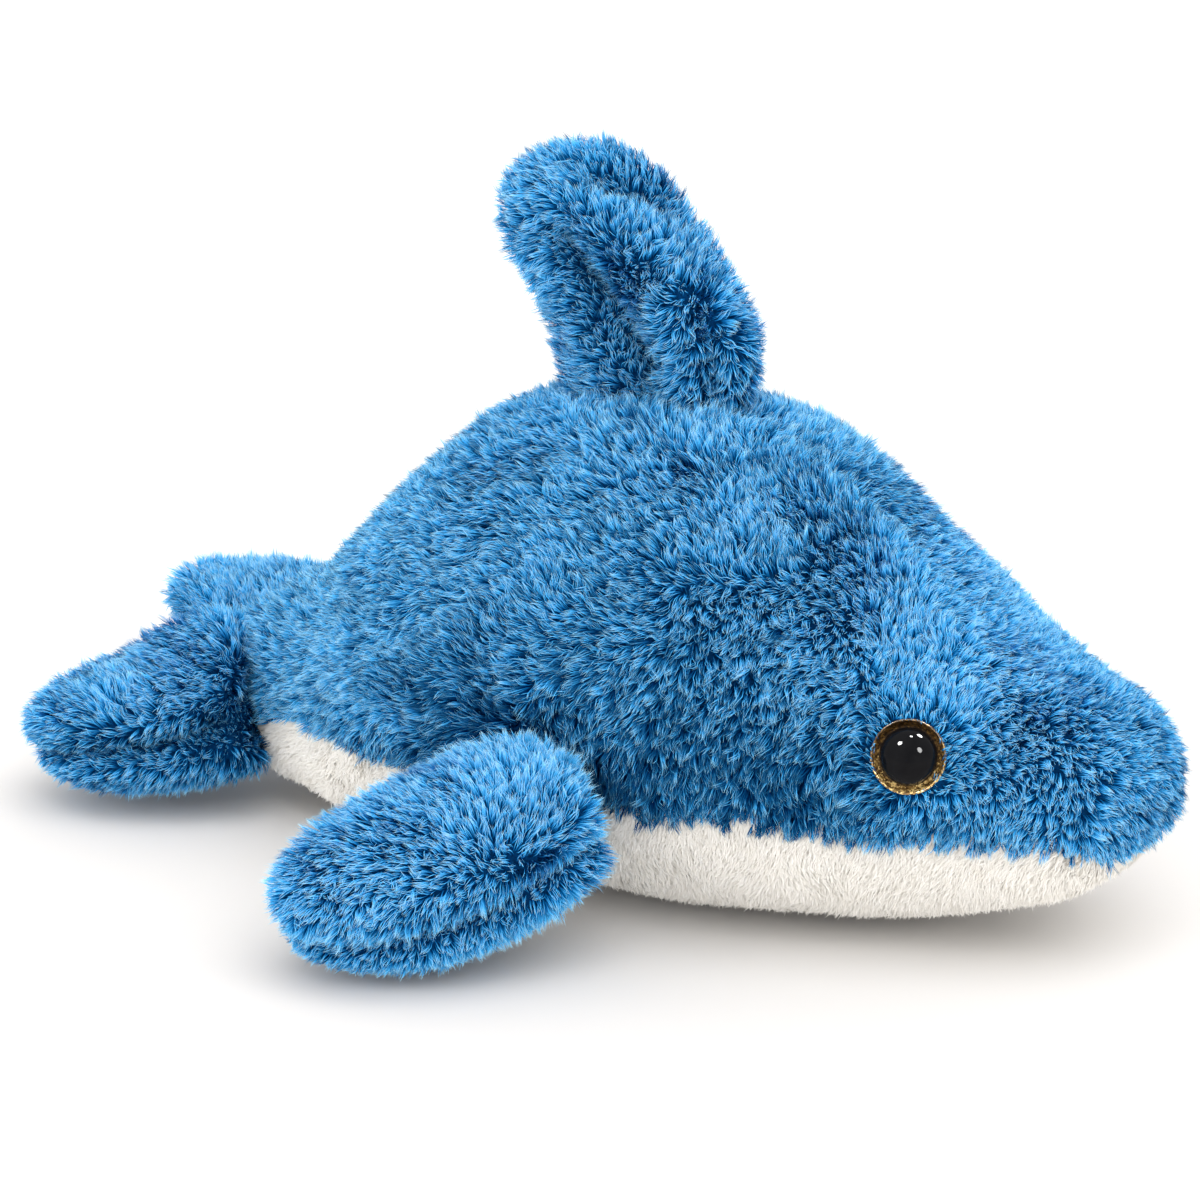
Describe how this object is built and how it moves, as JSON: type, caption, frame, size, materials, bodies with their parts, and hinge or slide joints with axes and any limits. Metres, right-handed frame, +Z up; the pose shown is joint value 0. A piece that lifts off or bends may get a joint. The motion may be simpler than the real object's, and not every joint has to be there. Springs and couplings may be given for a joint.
{
  "type": "plush dolphin",
  "caption": "Stuffed dolphin lying on its belly, with combed blue pile, a white belly panel, bendable sewn-in dorsal fin, flippers and tail flukes, and domed plastic eyes in glitter rings.",
  "frame": {"origin": "on the floor, under the middle of the toy", "axes": "+X towards the nose, +Y towards the toy's left side, +Z up"},
  "size_m": [0.2796, 0.2286, 0.1641],
  "materials": {
    "blue_plush": "long combed pile",
    "white_plush": "short pile",
    "fibrefill": "loose fibre",
    "black_plastic": "polished",
    "bronze_glitter": "bronze glitter under lacquer",
    "white_plastic": "moulded"
  },
  "bodies": {
    "body": {"right_side_panel": "blue_plush", "left_side_panel": "blue_plush", "belly_panel": "white_plush", "body_stuffing": "fibrefill", "right_eye_pupil": "black_plastic", "left_eye_pupil": "black_plastic", "right_eye_iris_ring": "bronze_glitter", "left_eye_iris_ring": "bronze_glitter", "right_eye_lock_washer": "white_plastic", "left_eye_lock_washer": "white_plastic"},
    "dorsal_fin": {"dorsal_fin_left_panel": "blue_plush", "dorsal_fin_right_panel": "blue_plush", "dorsal_fin_stuffing": "fibrefill"},
    "right_flipper": {"right_flipper_top_panel": "blue_plush", "right_flipper_bottom_panel": "blue_plush", "right_flipper_stuffing": "fibrefill"},
    "left_flipper": {"left_flipper_top_panel": "blue_plush", "left_flipper_bottom_panel": "blue_plush", "left_flipper_stuffing": "fibrefill"},
    "right_fluke": {"right_fluke_top_panel": "blue_plush", "right_fluke_bottom_panel": "blue_plush", "right_fluke_stuffing": "fibrefill"},
    "left_fluke": {"left_fluke_top_panel": "blue_plush", "left_fluke_bottom_panel": "blue_plush", "left_fluke_stuffing": "fibrefill"}
  },
  "joints": [
    {"name": "dorsal_fin_bend", "type": "hinge", "parent": "body", "child": "dorsal_fin", "pos_m": [0.01482, 0, 0.11032], "axis": [1, 0, 0.0071], "range_deg": [-20, 20], "stiffness_Nm_per_rad": 0.15},
    {"name": "right_flipper_bend", "type": "hinge", "parent": "body", "child": "right_flipper", "pos_m": [0.02173, -0.05819, 0.03608], "axis": [-0.998, -0.0638, -0.0041], "range_deg": [0, 35], "stiffness_Nm_per_rad": 0.15},
    {"name": "left_flipper_bend", "type": "hinge", "parent": "body", "child": "left_flipper", "pos_m": [0.02173, 0.05819, 0.03608], "axis": [0.998, -0.0638, 0.0041], "range_deg": [0, 35], "stiffness_Nm_per_rad": 0.15},
    {"name": "right_fluke_bend", "type": "hinge", "parent": "body", "child": "right_fluke", "pos_m": [-0.09437, -0.01376, 0.02408], "axis": [-0.5939, 0.8044, 0.0155], "range_deg": [-2, 20], "stiffness_Nm_per_rad": 0.15},
    {"name": "left_fluke_bend", "type": "hinge", "parent": "body", "child": "left_fluke", "pos_m": [-0.09437, 0.01376, 0.02408], "axis": [0.5939, 0.8044, -0.0155], "range_deg": [-20, 2], "stiffness_Nm_per_rad": 0.15}
  ]
}
